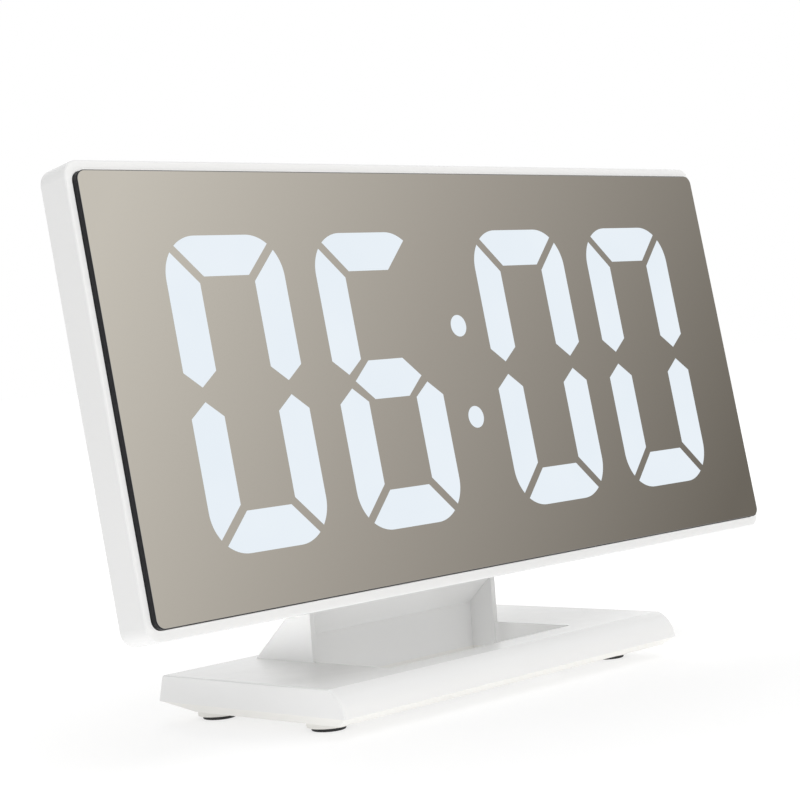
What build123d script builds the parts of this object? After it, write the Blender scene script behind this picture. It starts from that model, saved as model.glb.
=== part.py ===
from build123d import *
import os
from math import cos, radians, sin, sqrt, tan

# Digital desk clock: a mirror-fronted display head that tilts on a one-piece stand.
# Millimetres, +Z up. The origin lies on the table under the centre of the base, and the face looks to -Y.
# The head is drawn upright in a frame of its own: X to the right as seen from the front, Y the depth
# behind the mirror's front face, Z the height above the middle of the mirror. It is then leaned back
# about the tilt hinge.

# One overrun serves every cut
overrun = 1.0

# Display: four digits of seven strokes, and a colon
digit_width = 29.9
digit_height = 61.2
digit_corner_radius = 8.5
stroke_width = 8.0
stroke_gap = 1.8
stroke_tip_gap = 2.8
stroke_tip_length = 3.0
bar_tip_inset = 5.4
bar_tip_length = 4.6
digit_pitch = 38.4
pair_pitch = 47.4
colon_dot_radius = 2.35
colon_pitch = 19.8
display_drop = 0.9

# Mirror panel and the tape that bonds it
mirror_side_margin = 16.45
mirror_end_margin = 11.9
mirror_corner_radius = 2.0
mirror_thickness = 1.6
mirror_bevel = 0.2
mirror_proud = 1.4
mirror_play = 0.1
tape_thickness = 0.3
tape_inset = 0.4

# Front frame
frame_side_lip = 1.5
frame_end_lip = 2.2
frame_corner_radius = 3.2
frame_wall = 1.8
frame_front_round = 0.35
frame_rear_round = 0.6
ring_thickness = 1.4

# Light block behind the mirror, with a well and a lens for each stroke
block_margin = 2.9
block_depth = 3.5
block_flange = 2.5
block_play = 0.2
lens_thickness = 1.0
lens_play = 0.1

# Display board and its light-emitting chips
led_board_thickness = 1.2
led_board_rise = 2.6
led_board_edge = 2.4
led_post_offset = 3.4
led_post_radius = 2.2
led_length = 3.0
led_width = 2.0
led_height = 0.7

# Rear cover and its raised box
cover_gap = 1.3
cover_thickness = 1.6
cover_play = 0.2
box_wall = 1.8
box_corner_radius = 4.0
box_round = 1.5
box_floor_gap = 4.7
bay_width = 31.5
hinge_zone = 21.0
boss_radius = 2.4
boss_inset = 2.7
top_screw_pitch = 64.0
low_screw_offset = 10.0
sound_hole_radius = 0.8
sound_hole_pitch = 3.2
sound_hole_count = 6

# Three AAA cells, their contacts and pocket
cell_count = 3
cell_radius = 5.25
cell_length = 44.5
cell_nub_radius = 1.9
cell_nub_length = 0.8
cell_edge_round = 0.4
cell_pitch = 11.2
cell_play = 0.1
contact_thickness = 0.4
contact_width = 8.0
contact_height = 9.0
dimple_radius = 1.2
dimple_height = 0.6
spring_reach = 4.5
spring_width = 5.0
pocket_wall = 3.6
pocket_floor = 1.2
pocket_floor_gap = 0.9
pocket_top_wall = 3.4

# Battery door, which slides upward in two grooves
door_thickness = 1.8
door_sill = 2.0
tongue_thickness = 0.8
tongue_width = 1.0
door_play = 0.1
rib_count = 5
rib_pitch = 2.6
rib_width = 1.0
rib_height = 0.5
rib_length = 16.0
rib_setback = 7.0

# Control board, its parts and the four buttons
board_thickness = 1.2
board_standoff = 4.0
board_gap = 0.7
board_length = 52.0
button_count = 4
button_pitch = 12.0
button_radius = 3.4
button_play = 0.2
button_proud = 1.2
button_round = 0.5
button_flange = 1.0
button_flange_thickness = 0.8
button_rest_gap = 0.05
switch_size = 4.6
switch_height = 2.0
stem_radius = 1.0
stem_height = 0.4
chip_length = 10.0
chip_width = 7.0
chip_height = 1.7
crystal_radius = 1.5
crystal_length = 6.5
buzzer_radius = 6.0
buzzer_height = 7.0
buzzer_hole_radius = 1.0
buzzer_hole_depth = 1.5
part_row_pitch = 14.0
pin_count = 10
pin_pitch = 2.54
pin_size = 0.64
pin_play = 0.05
header_thickness = 2.5
header_inset = 3.2
socket_width = 8.0
socket_height = 2.8
socket_length = 5.6
socket_wall = 0.35
socket_back = 1.0
socket_tongue_thickness = 0.7
socket_tongue_width = 4.0
socket_tongue_gap = 0.8
socket_play = 0.1
socket_drop = 15.0
board_screw_inset = 2.8
board_screw_end = 5.0
board_post_radius = 2.0

# Screws
screw_radius = 0.8
screw_play = 0.05
screw_hole_radius = 1.1
countersunk_radius = 1.7
countersunk_height = 0.9
pan_radius = 1.9
pan_height = 0.6
cross_length = 1.9
cross_width = 0.45
cross_depth = 0.4
case_screw_length = 5.2
led_screw_length = 3.6
board_screw_length = 3.8
base_screw_length = 4.6

# Base, its bottom plate and feet
base_length = 105.4
base_depth = 56.6
rubber_radius = 3.5
rubber_thickness = 1.2
rubber_round = 0.2
rubber_seat = 0.4
rubber_play = 0.1
foot_boss_radius = 4.5
foot_boss_height = 1.6
foot_end_inset = 8.2
foot_front_inset = 13.5
foot_back_inset = 9.7
plate_thickness = 1.8
plate_inset = 0.25
plate_front_run = 2.8
plate_back_run = 10.3
plate_end_run = 1.0
shell_height = 5.6
shell_wall = 2.0
nose_radius = 6.7
nose_run = 4.3
back_slant = 1.7
back_round = 0.8
end_round = 0.4
window_width = 58.0
window_corner_radius = 0.8
front_bar_depth = 11.0
base_screw_pitch = 16.0
base_screw_setback = 30.3
base_boss_radius = 2.6

# Neck of the stand and the tilt hinge
neck_back_margin = 5.3
neck_width = 58.6
neck_wall = 1.3
neck_thickness = 5.3
neck_foot_depth = 18.1
neck_slope = 41.0
niche_depth = 7.0
web_run = 5.8
hinge_rise = 21.2
barrel_radius = 4.6
hinge_pin_radius = 1.5
hinge_pin_play = 0.05
hinge_play = 0.05
washer_thickness = 0.5
washer_radius = 3.6
washer_play = 0.1
lug_radius = 5.0
lug_thickness = 5.0
lug_reach = 7.5
lug_rise = 6.1
lean_angle = 9.0

# Depths in the head, behind the mirror's front face
mirror_back = mirror_thickness
tape_back = mirror_back + tape_thickness
ring_back = tape_back + ring_thickness
block_back = tape_back + block_depth
led_board_back = block_back + led_board_thickness
cover_front = led_board_back + cover_gap
case_back = cover_front + cover_thickness
pocket_floor_front = case_back + pocket_floor_gap
pocket_floor_back = pocket_floor_front + pocket_floor
cell_depth = pocket_floor_back + cell_play + cell_radius
box_back = cell_depth + cell_radius + cell_play + door_thickness
box_wall_front = box_back - box_wall
board_back = box_wall_front - board_standoff
board_front = board_back - board_thickness

# Widths and heights in the head
display_half = pair_pitch / 2 + digit_pitch + digit_width / 2
block_width = 2 * (display_half + block_margin)
block_height = digit_height + 2 * block_margin
mirror_width = 2 * (display_half + mirror_side_margin)
mirror_height = digit_height + 2 * mirror_end_margin
case_width = mirror_width + 2 * frame_side_lip
case_height = mirror_height + 2 * frame_end_lip
inner_width = case_width - 2 * frame_wall
inner_height = case_height - 2 * frame_wall
inner_corner_radius = frame_corner_radius - frame_wall
opening_width = block_width + 2 * block_play
opening_height = block_height + 2 * block_play
led_post_x = block_width / 2 + led_post_offset
led_post_z = block_height / 2
led_board_width = 2 * (led_post_x + led_board_edge)
led_board_height = block_height + 2 * led_board_rise

pocket_length = cell_length + contact_thickness + dimple_height + spring_reach + 2 * cell_play
pocket_height = cell_count * cell_pitch
pocket_outer_half = pocket_length / 2 + pocket_wall
box_half = pocket_outer_half + bay_width
box_bottom = -case_height / 2 + box_floor_gap
door_bottom = box_bottom + hinge_zone
pocket_bottom = door_bottom + door_sill
pocket_top = pocket_bottom + pocket_height
box_top = pocket_top + pocket_top_wall
box_middle = (box_bottom + box_top) / 2
door_half = pocket_length / 2 + door_sill
tongue_half = door_half + tongue_width

board_inner_x = pocket_outer_half + board_gap
board_outer_x = box_half - box_wall - board_gap
board_middle_x = (board_inner_x + board_outer_x) / 2

# Places of the screws in the head, seen from the front
case_screw_x = inner_width / 2 - boss_inset
case_screw_z = inner_height / 2 - boss_inset
case_screw_places = [(side * case_screw_x, end * case_screw_z) for side in (-1, 1) for end in (-1, 1)]
case_screw_places += [(side * top_screw_pitch / 2, case_screw_z) for side in (-1, 1)]
case_screw_places += [(side * (box_half + low_screw_offset), -case_screw_z) for side in (-1, 1)]
led_screw_places = [
    (side * led_post_x, end * led_post_z - display_drop) for side in (-1, 1) for end in (-1, 1)
]
board_screw_places = [
    (board_outer_x - board_screw_inset, box_middle + board_length / 2 - board_screw_end),
    (board_inner_x + board_screw_inset, box_middle - board_length / 2 + board_screw_end),
]
top_button_height = box_middle + (button_count - 1) / 2 * button_pitch
button_heights = [top_button_height - index * button_pitch for index in range(button_count)]

# Heights and places in the stand
foot_boss_bottom = rubber_thickness - rubber_seat
plate_bottom = foot_boss_bottom + foot_boss_height
plate_top = plate_bottom + plate_thickness
base_top = plate_top + shell_height
base_front = -base_depth / 2
base_back = base_depth / 2
window_front = base_front + front_bar_depth
neck_foot = base_back - neck_back_margin
neck_front = neck_foot - neck_foot_depth
neck_back = neck_front + neck_thickness
niche_back = neck_front + niche_depth
niche_half = neck_width / 2 - neck_wall
slope = tan(radians(neck_slope))
hinge_y = neck_front + neck_thickness / 2
hinge_z = base_top + hinge_rise
base_screw_x = (window_width + base_length) / 4
base_screw_y = base_front + base_screw_setback
base_screw_places = [
    (side * base_screw_x, base_screw_y + end * base_screw_pitch / 2) for side in (-1, 1) for end in (-1, 1)
]
foot_x = base_length / 2 - foot_end_inset
foot_rows = (base_front + foot_front_inset, base_back - foot_back_inset)
foot_places = [(side * foot_x, y) for side in (-1, 1) for y in foot_rows]

# The tilt hinge in the head's frame, and the head's place on the stand
hinge_depth = box_back + lug_reach
hinge_height = box_bottom + lug_rise
head_place = Pos(0, hinge_y, hinge_z) * Rot(-lean_angle, 0, 0) * Pos(0, -hinge_depth, -hinge_height)
from_rear = Rot(-90, 0, 0)
from_front = Rot(90, 0, 0)
from_below = Rot(180, 0, 0)


def slab(outline, front, back):
    """A piece of the head between two depths, from its outline seen from the front."""
    return extrude(Plane.XZ.offset(-front) * outline, amount=back - front, dir=(0, 1, 0))


def bar(outline, start, end):
    """A piece between two places along X, from its outline seen from the side."""
    return extrude(Plane.YZ.offset(start) * outline, amount=end - start, dir=(1, 0, 0))


def disc(place, radius, front, back):
    """A round piece or hole of the head, square to the mirror."""
    return slab(Pos(*place) * Circle(radius), front, back)


def block(x_range, depth_range, z_range):
    """A box between three pairs of limits."""
    ranges = (x_range, depth_range, z_range)
    sizes = [high - low for low, high in ranges]
    centre = [(high + low) / 2 for low, high in ranges]
    return Pos(*centre) * Box(*sizes)


def flipped(points, side, end):
    """Outline points mirrored left to right or top to bottom, still counter-clockwise."""
    turned = [(side * x, end * y) for x, y in points]
    return turned if side * end > 0 else turned[::-1]


def countersunk_screw(length):
    """A countersunk screw with a cross slot, its head's face at Z 0 and its shank down."""
    low = (Align.CENTER, Align.CENTER, Align.MAX)
    head = Cone(screw_radius, countersunk_radius, countersunk_height, align=low)
    shank = Cylinder(screw_radius, length, align=low)
    slot = Box(cross_length, cross_width, cross_depth, align=low)
    return head + shank - slot - Rot(0, 0, 90) * slot


def pan_screw(length):
    """A low pan-head screw with a cross slot, its seat at Z 0 and its shank down."""
    low = (Align.CENTER, Align.CENTER, Align.MAX)
    high = (Align.CENTER, Align.CENTER, Align.MIN)
    head = Cylinder(pan_radius, pan_height, align=high)
    shank = Cylinder(screw_radius, length, align=low)
    slot = Pos(0, 0, pan_height) * Box(cross_length, cross_width, cross_depth, align=low)
    return head + shank - slot - Rot(0, 0, 90) * slot


def countersink(hole_length):
    """The hole that a countersunk screw sits in, with its face at Z 0."""
    low = (Align.CENTER, Align.CENTER, Align.MAX)
    cone = Cone(
        screw_radius + screw_play, countersunk_radius + screw_play, countersunk_height, align=low
    )
    return cone + Cylinder(screw_hole_radius, hole_length, align=low)


def digit_strokes(centre_x):
    """The seven strokes of a digit as flat outlines: top, the right pair, bottom, the left pair, middle."""
    half_w = digit_width / 2
    half_h = digit_height / 2
    mitre = stroke_gap / sqrt(2)
    tip = stroke_tip_gap / 2
    shoulder = tip + stroke_tip_length
    bar_tip = half_w - bar_tip_inset
    bar_shoulder = bar_tip - bar_tip_length
    top = [
        (-half_w + mitre, half_h),
        (-half_w + stroke_width + mitre, half_h - stroke_width),
        (half_w - stroke_width - mitre, half_h - stroke_width),
        (half_w - mitre, half_h),
    ]
    upright = [
        (-half_w, half_h - mitre),
        (-half_w, shoulder),
        (-half_w + stroke_width / 2, tip),
        (-half_w + stroke_width, shoulder),
        (-half_w + stroke_width, half_h - stroke_width - mitre),
    ]
    middle = [
        (-bar_tip, 0),
        (-bar_shoulder, -stroke_width / 2),
        (bar_shoulder, -stroke_width / 2),
        (bar_tip, 0),
        (bar_shoulder, stroke_width / 2),
        (-bar_shoulder, stroke_width / 2),
    ]
    loops = [
        top,
        flipped(upright, -1, 1),
        flipped(upright, -1, -1),
        flipped(top, 1, -1),
        flipped(upright, 1, -1),
        upright,
        middle,
    ]
    outer = RectangleRounded(digit_width, digit_height, digit_corner_radius)
    return [Pos(centre_x, -display_drop) * (Polygon(*loop) & outer) for loop in loops]


inner_digit_x = pair_pitch / 2
outer_digit_x = inner_digit_x + digit_pitch
digit_outlines = {
    "hour_tens_segments": digit_strokes(-outer_digit_x),
    "hour_units_segments": digit_strokes(-inner_digit_x),
    "minute_tens_segments": digit_strokes(inner_digit_x),
    "minute_units_segments": digit_strokes(outer_digit_x),
    "colon_lenses": [
        Pos(0, end * colon_pitch / 2 - display_drop) * Circle(colon_dot_radius) for end in (-1, 1)
    ],
}
all_outlines = [outline for outlines in digit_outlines.values() for outline in outlines]


def mirror_panel():
    """The mirror that fills the front, with a small bevel round its front edge."""
    panel = slab(RectangleRounded(mirror_width, mirror_height, mirror_corner_radius), 0, mirror_back)
    return chamfer(panel.faces().sort_by(Axis.Y)[0].edges(), mirror_bevel)


def mirror_tape():
    """The ring of tape between the mirror and the frame."""
    outer = RectangleRounded(
        mirror_width - 2 * tape_inset, mirror_height - 2 * tape_inset, mirror_corner_radius - tape_inset
    )
    inner = Pos(0, -display_drop) * Rectangle(opening_width, opening_height)
    return slab(outer - inner, mirror_back, tape_back)


def segment_mask():
    """The dark film behind the mirror, with a window for each stroke and dot."""
    film = Pos(0, -display_drop) * Rectangle(block_width, block_height)
    return slab(film - all_outlines, mirror_back, tape_back)


def light_block():
    """The white block with one light well for each stroke and dot, and a flange behind the frame's ring."""
    centre = Pos(0, -display_drop)
    body = slab(centre * Rectangle(block_width, block_height), tape_back, block_back)
    flange = slab(centre * Rectangle(block_width, block_height + 2 * block_flange), ring_back, block_back)
    wells = [
        slab(offset(outline, amount=lens_play), tape_back - overrun, block_back + overrun)
        for outline in all_outlines
    ]
    return body + flange - wells


def front_frame():
    """The white frame: a lip round the mirror, side walls, a ring behind the mirror, bosses and posts."""
    outer = slab(RectangleRounded(case_width, case_height, frame_corner_radius), mirror_proud, case_back)
    outer = fillet(outer.faces().sort_by(Axis.Y)[0].edges(), frame_front_round)
    outer = fillet(outer.faces().sort_by(Axis.Y)[-1].edges(), frame_rear_round)
    cavity_outline = RectangleRounded(inner_width, inner_height, inner_corner_radius)
    cavity = slab(cavity_outline, ring_back, case_back + overrun)
    seat_outline = RectangleRounded(
        mirror_width + 2 * mirror_play, mirror_height + 2 * mirror_play, mirror_corner_radius + mirror_play
    )
    seat = slab(seat_outline, mirror_proud - overrun, tape_back)
    opening_outline = Pos(0, -display_drop) * Rectangle(opening_width, opening_height)
    opening = slab(opening_outline, tape_back - overrun, ring_back + overrun)
    bosses = [disc(place, boss_radius, ring_back, cover_front) for place in case_screw_places]
    posts = [disc(place, led_post_radius, ring_back, block_back) for place in led_screw_places]
    pilot = screw_radius + screw_play
    holes = [
        disc(place, pilot, case_back - case_screw_length - screw_play, cover_front + overrun)
        for place in case_screw_places
    ]
    holes += [
        disc(place, pilot, led_board_back - led_screw_length - screw_play, block_back + overrun)
        for place in led_screw_places
    ]
    return outer - cavity - seat - opening + bosses + posts - holes


def led_board():
    """The display board that carries the light-emitting chips."""
    board = Pos(0, -display_drop) * Rectangle(led_board_width, led_board_height)
    holes = [Pos(*place) * Circle(screw_hole_radius) for place in led_screw_places]
    return slab(board - holes, block_back, led_board_back)


def led_chips():
    """One chip in the well behind each stroke and dot."""
    chips = []
    for outline in all_outlines:
        centre = outline.center()
        tall = outline.bounding_box().size.Y > outline.bounding_box().size.X
        size = (led_width, led_length) if tall else (led_length, led_width)
        chips.append(slab(Pos(centre.X, centre.Y) * Rectangle(*size), block_back - led_height, block_back))
    return chips


def box_shape():
    """The outside of the raised box on the back, with rounded back edges."""
    outline = RectangleRounded(2 * box_half, box_top - box_bottom, box_corner_radius)
    box = slab(Pos(0, box_middle) * outline, cover_front, box_back)
    return fillet(box.faces().sort_by(Axis.Y)[-1].edges(), box_round)


def door_region(side_play, seam):
    """The space of the sliding door: a face plate, and a tongue under the lip at the sides and foot."""
    tongue_low = door_bottom - tongue_width - side_play
    tongue_x = tongue_half + side_play
    plate_x = door_half + side_play
    tongue_front = box_back - door_thickness + (door_play - seam)
    tongue_back = tongue_front + tongue_thickness + 2 * seam
    tongue = block((-tongue_x, tongue_x), (tongue_front, tongue_back), (tongue_low, box_top + overrun))
    plate_heights = (door_bottom - side_play, box_top + overrun)
    plate = block((-plate_x, plate_x), (tongue_front, box_back + overrun), plate_heights)
    return tongue + plate


def battery_door():
    """The door, cut from the box's own shape so that it lies flush, with grip ribs near its top."""
    door = box_shape() & door_region(0, 0)
    first = box_top - rib_setback
    ribs = [
        block(
            (-rib_length / 2, rib_length / 2),
            (box_back - rib_height, box_back + rib_height),
            (first - index * rib_pitch - rib_width, first - index * rib_pitch),
        )
        for index in range(rib_count)
    ]
    return door + ribs


def lug_outline():
    """The side view of a hinge lug: a round eye on a straight root."""
    root_depth = lug_reach + box_wall / 2
    root = Pos(hinge_depth - root_depth / 2, hinge_height) * Rectangle(root_depth, 2 * lug_radius)
    return root + Pos(hinge_depth, hinge_height) * Circle(lug_radius)


def socket_outline(play):
    """The power socket's outline, seen along X."""
    outline = RectangleRounded(socket_height + 2 * play, socket_width + 2 * play, socket_height / 4)
    return Pos(board_back + socket_height / 2, box_middle - socket_drop) * outline


def rear_cover():
    """The rear cover: a plate in the frame, the raised box with the cell pocket, posts and hinge lugs."""
    plate_outline = RectangleRounded(
        inner_width - 2 * cover_play, inner_height - 2 * cover_play, inner_corner_radius - cover_play
    )
    plate = slab(plate_outline, cover_front, case_back)
    inside_outline = Pos(0, box_middle) * RectangleRounded(
        2 * (box_half - box_wall), box_top - box_bottom - 2 * box_wall, box_corner_radius - box_wall
    )
    inside = slab(inside_outline, cover_front - overrun, box_wall_front)
    pocket_block = block(
        (-pocket_outer_half, pocket_outer_half),
        (pocket_floor_front, box_wall_front),
        (pocket_bottom - pocket_wall, box_top - box_wall),
    )
    pocket = block(
        (-pocket_length / 2, pocket_length / 2), (pocket_floor_back, box_back), (pocket_bottom, pocket_top)
    )
    posts = [disc(place, board_post_radius, board_back, box_wall_front) for place in board_screw_places]
    lug_inner = neck_width / 2 + washer_thickness + 2 * hinge_play
    lugs = [
        bar(lug_outline(), lug_inner, lug_inner + lug_thickness),
        bar(lug_outline(), -lug_inner - lug_thickness, -lug_inner),
    ]
    cover = plate + box_shape() - inside + pocket_block + posts + lugs - pocket
    cover = cover - door_region(door_play, door_play)

    eye = Pos(hinge_depth, hinge_height) * Circle(hinge_pin_radius)
    lug_outer = lug_inner + lug_thickness + overrun
    cuts = [bar(eye, -lug_outer, lug_outer)]
    cuts.append(bar(socket_outline(socket_play), box_half - box_wall - overrun, box_half + overrun))
    wall_depths = (box_wall_front - overrun, box_back + overrun)
    cuts += [
        disc((board_middle_x, height), button_radius + button_play, *wall_depths)
        for height in button_heights
    ]
    holes = [Pos(-board_middle_x, box_middle) * Circle(sound_hole_radius)]
    ring = PolarLocations(sound_hole_pitch, sound_hole_count)
    holes += [Pos(-board_middle_x, box_middle) * place * Circle(sound_hole_radius) for place in ring]
    cuts += [slab(hole, *wall_depths) for hole in holes]
    pilot = screw_radius + screw_play
    pilot_end = board_front + board_screw_length + screw_play
    cuts += [disc(place, pilot, board_back - overrun, pilot_end) for place in board_screw_places]
    sink = countersink(cover_thickness + overrun)
    cuts += [Pos(x, case_back, z) * from_rear * sink for x, z in case_screw_places]
    return cover - cuts


def cell_rows():
    """Height of each cell and the way its nub points, turned about from one cell to the next."""
    return [
        (pocket_bottom + (index + 1 / 2) * cell_pitch, -1 if index % 2 else 1)
        for index in range(cell_count)
    ]


def battery_cells():
    """Three plain cells in series, each with its nub."""
    body_length = cell_length - cell_nub_length
    high = (Align.CENTER, Align.CENTER, Align.MIN)
    can = Cylinder(cell_radius, body_length, align=high)
    can = fillet(can.edges().filter_by(GeomType.CIRCLE), cell_edge_round)
    cell = can + Pos(0, 0, body_length) * Cylinder(cell_nub_radius, cell_nub_length, align=high)
    nub_end = pocket_length / 2 - contact_thickness - dimple_height - cell_play
    cells = []
    for height, way in cell_rows():
        start = way * (nub_end - cell_length)
        cells.append(Pos(start, cell_depth, height) * Rot(0, way * 90, 0) * cell)
    return cells


def battery_plates():
    """A flat contact with a dimple in front of each nub."""
    plates = []
    for height, way in cell_rows():
        wall = pocket_length / 2
        plate = Box(contact_thickness, contact_width, contact_height)
        plate = Pos(wall - contact_thickness / 2, 0, 0) * plate
        dimple_start = wall - contact_thickness - dimple_height
        dimple = bar(Circle(dimple_radius), dimple_start, wall - contact_thickness)
        turn = Rot(0, 0, 0) if way > 0 else Rot(0, 0, 180)
        plates.append(Pos(0, cell_depth, height) * turn * (plate + dimple))
    return plates


def battery_springs():
    """A contact with a folded leaf that presses on the flat end of each cell."""
    wall = pocket_length / 2
    half = contact_height / 2
    leaf_line = [
        (contact_thickness / 2, half),
        (contact_thickness / 2, -half),
        (spring_reach - contact_thickness / 2, 0),
        (contact_thickness + spring_reach / 4, half / 2),
    ]
    profile = trace(Polyline(*leaf_line), contact_thickness)
    leaf = extrude(Plane.XZ.offset(-spring_width / 2) * profile, amount=-spring_width, dir=(0, 1, 0))
    springs = []
    for height, way in cell_rows():
        turn = Rot(0, 0, 0) if way > 0 else Rot(0, 0, 180)
        springs.append(Pos(0, cell_depth, height) * turn * Pos(-wall, 0, 0) * leaf)
    return springs


def main_board():
    """The control board, screwed to two posts of the rear cover."""
    outline = Pos(board_middle_x, box_middle) * Rectangle(board_outer_x - board_inner_x, board_length)
    holes = [Pos(*place) * Circle(screw_hole_radius) for place in board_screw_places]
    return slab(outline - holes, board_front, board_back)


def tact_switches():
    """A small press switch under each button."""
    switches = []
    for height in button_heights:
        place = Pos(board_middle_x, height)
        body = slab(place * Rectangle(switch_size, switch_size), board_back, board_back + switch_height)
        stem_start = board_back + switch_height
        switches.append(body + slab(place * Circle(stem_radius), stem_start, stem_start + stem_height))
    return switches


def button(height):
    """A push button: a cap through the cover and a flange that stops it from inside."""
    place = (board_middle_x, height)
    flange_back = box_wall_front - button_rest_gap
    cap = disc(place, button_radius, flange_back, box_back + button_proud)
    cap = fillet(cap.faces().sort_by(Axis.Y)[-1].edges(), button_round)
    flange_front = flange_back - button_flange_thickness
    return cap + disc(place, button_radius + button_flange, flange_front, flange_back)


def clock_chip():
    """The clock's controller chip on the inner face of the control board."""
    outline = Pos(board_middle_x, box_middle) * Rectangle(chip_length, chip_width)
    return slab(outline, board_front - chip_height, board_front)


def crystal():
    """The timekeeping crystal, a small can lying on the board."""
    lying = Rot(0, 90, 0) * Cylinder(crystal_radius, crystal_length)
    return Pos(board_middle_x, board_front - crystal_radius, box_middle + part_row_pitch) * lying


def buzzer():
    """The alarm's round buzzer, with a sound hole in its top."""
    place = (board_middle_x, box_middle - part_row_pitch)
    top = board_front - buzzer_height
    body = disc(place, buzzer_radius, top, board_front)
    return body - disc(place, buzzer_hole_radius, top - overrun, top + buzzer_hole_depth)


def header_places():
    """The row of pins that joins the two boards."""
    x = board_inner_x + header_inset
    return [(x, box_middle + (index - (pin_count - 1) / 2) * pin_pitch) for index in range(pin_count)]


def header_block():
    """The plastic strip that holds the pins."""
    x = board_inner_x + header_inset
    strip = Pos(x, box_middle) * Rectangle(pin_pitch, pin_count * pin_pitch)
    hole = pin_size + 2 * pin_play
    holes = [Pos(*place) * Rectangle(hole, hole) for place in header_places()]
    return slab(strip - holes, board_front - header_thickness, board_front)


def header_pins():
    """The pins between the display board and the control board."""
    return [
        slab(Pos(*place) * Rectangle(pin_size, pin_size), led_board_back, board_front)
        for place in header_places()
    ]


def usb_socket():
    """The power socket at the box's side: a metal shell with a contact tongue, open outward."""
    start = box_half - socket_length
    shell = bar(socket_outline(0), start, box_half)
    mouth = bar(socket_outline(-socket_wall), start + socket_back, box_half + overrun)
    tongue_middle = board_back + socket_height / 2
    tongue_z = box_middle - socket_drop
    tongue = block(
        (start, box_half - socket_tongue_gap),
        (tongue_middle - socket_tongue_thickness / 2, tongue_middle + socket_tongue_thickness / 2),
        (tongue_z - socket_tongue_width / 2, tongue_z + socket_tongue_width / 2),
    )
    return shell - mouth + tongue


def hinge_pin():
    """The steel pin through the lugs and the neck's barrel."""
    reach = neck_width / 2 + washer_thickness + 2 * hinge_play + lug_thickness
    return bar(Pos(hinge_depth, hinge_height) * Circle(hinge_pin_radius), -reach, reach)


def friction_washers():
    """A washer between the barrel and each lug, which holds the tilt."""
    start = neck_width / 2 + hinge_play
    ring = Circle(washer_radius) - Circle(hinge_pin_radius + washer_play)
    outline = Pos(hinge_depth, hinge_height) * ring
    return [
        bar(outline, start, start + washer_thickness),
        bar(outline, -start - washer_thickness, -start),
    ]


def neck_outline():
    """The side view of the neck: upright front, sloping back and a straight top under the hinge barrel."""
    slope_top = base_top + (neck_foot - neck_back) * slope
    return Polygon(
        (neck_front, plate_top),
        (neck_foot, plate_top),
        (neck_foot, base_top),
        (neck_back, slope_top),
        (neck_back, hinge_z),
        (neck_front, hinge_z),
    )


def niche_outline():
    """The side view of the hollow in the neck's front, whose roof runs along the sloping back."""
    front = neck_front - overrun
    knee = base_top + (neck_foot - web_run - niche_back) * slope
    roof = base_top + (neck_foot - web_run - front) * slope
    floor = plate_bottom - overrun
    return Polygon((front, floor), (niche_back, floor), (niche_back, knee), (front, roof))


def neck_hollow_outline():
    """The side view of the hollow behind the niche, open to the bottom plate."""
    wall_back = niche_back + shell_wall
    slope_foot = neck_foot - web_run
    top = base_top + (slope_foot - wall_back) * slope
    foot = slope_foot + (base_top - plate_top) / slope
    floor = plate_top - overrun
    return Polygon((wall_back, floor), (foot, floor), (foot, plate_top), (wall_back, top))


def window(bottom, top):
    """The opening through the base in front of the neck."""
    outline = RectangleRounded(window_width, neck_front - window_front, window_corner_radius)
    opening = extrude(outline, amount=top - bottom, dir=(0, 0, 1))
    return Pos(0, (window_front + neck_front) / 2, bottom) * opening


def stand_shell():
    """The stand's upper piece: the base with its round nose and window, the neck and the hinge barrel."""
    nose_foot = (base_front, plate_top)
    nose_top = (base_front + nose_run, base_top)
    straight = Polyline(nose_top, (base_back - back_slant, base_top), (base_back, plate_top), nose_foot)
    base_outline = make_face(straight + RadiusArc(nose_foot, nose_top, nose_radius))
    back_corner = base_outline.vertices().group_by(Axis.Y)[-1].sort_by(Axis.X)[-1]
    base_outline = fillet(back_corner, back_round)
    base = bar(base_outline, -base_length / 2, base_length / 2)
    for end in (0, -1):
        rim = base.faces().sort_by(Axis.X)[end].edges()
        base = fillet([edge for edge in rim if edge.center().Z > plate_top + end_round], end_round)

    neck = bar(neck_outline(), -neck_width / 2, neck_width / 2)
    barrel = bar(Pos(hinge_y, hinge_z) * Circle(barrel_radius), -neck_width / 2, neck_width / 2)
    pin_hole = Pos(hinge_y, hinge_z) * Circle(hinge_pin_radius + hinge_pin_play)
    hollow_inner = window_width / 2 + shell_wall
    hollow_outer = base_length / 2 - shell_wall
    hollow_depth = (base_front + nose_run + shell_wall, base_back - back_slant - shell_wall)
    hollow_height = (plate_top - overrun, base_top - shell_wall)
    hollows = [
        block((hollow_inner, hollow_outer), hollow_depth, hollow_height),
        block((-hollow_outer, -hollow_inner), hollow_depth, hollow_height),
        bar(neck_hollow_outline(), shell_wall - niche_half, niche_half - shell_wall),
        bar(niche_outline(), -niche_half, niche_half),
        window(plate_bottom - overrun, base_top + overrun),
        bar(pin_hole, -base_length / 2, base_length / 2),
    ]
    low = (Align.CENTER, Align.CENTER, Align.MIN)
    bosses = [
        Pos(x, y, plate_top) * Cylinder(base_boss_radius, base_top - shell_wall - plate_top, align=low)
        for x, y in base_screw_places
    ]
    pilot_depth = base_screw_length - plate_thickness + screw_play
    pilot = Cylinder(screw_radius + screw_play, pilot_depth + overrun, align=low)
    holes = [Pos(x, y, plate_top - overrun) * pilot for x, y in base_screw_places]
    return base + neck + barrel - hollows + bosses - holes


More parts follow.
